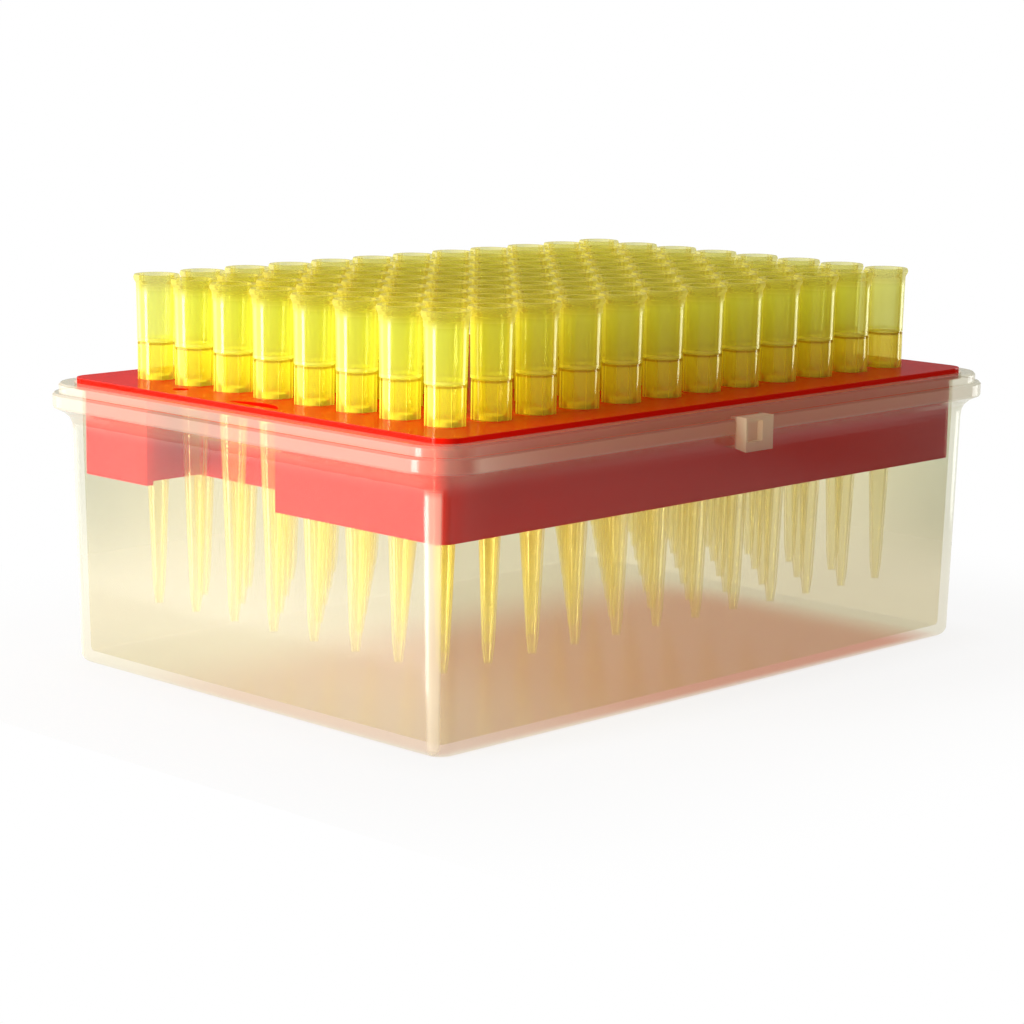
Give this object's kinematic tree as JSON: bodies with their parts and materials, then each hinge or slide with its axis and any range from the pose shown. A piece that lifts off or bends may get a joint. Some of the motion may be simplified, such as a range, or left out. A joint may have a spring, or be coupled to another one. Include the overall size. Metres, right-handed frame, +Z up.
{
  "type": "box of pipette tips",
  "caption": "Open translucent box with a stepped rim and lid catch; a red rack in its mouth holds rows of yellow filter pipette tips, mouths up.",
  "frame": {"origin": "centre of the tub's underside, under the middle of the tip grid", "axes": "+X along the long side, -Y towards the side with the lid catch, +Z up, out of the tips' mouths"},
  "size_m": [0.1262, 0.0916, 0.0603],
  "materials": {
    "tub": "translucent natural polypropylene, satin",
    "rack": "glossy red",
    "tip": "glossy, see-through yellow",
    "filter": "porous, matte"
  },
  "bodies": {
    "root": {"base_box": "tub", "tip_rack": "rack", "tips_column_01": "tip", "tips_column_02": "tip", "tips_column_03": "tip", "tips_column_04": "tip", "tips_column_05": "tip", "tips_column_06": "tip", "tips_column_07": "tip", "tips_column_08": "tip", "tips_column_09": "tip", "tips_column_10": "tip", "tips_column_11": "tip", "tips_column_12": "tip", "filters_column_01": "filter", "filters_column_02": "filter", "filters_column_03": "filter", "filters_column_04": "filter", "filters_column_05": "filter", "filters_column_06": "filter", "filters_column_07": "filter", "filters_column_08": "filter", "filters_column_09": "filter", "filters_column_10": "filter", "filters_column_11": "filter", "filters_column_12": "filter"}
  },
  "joints": []
}
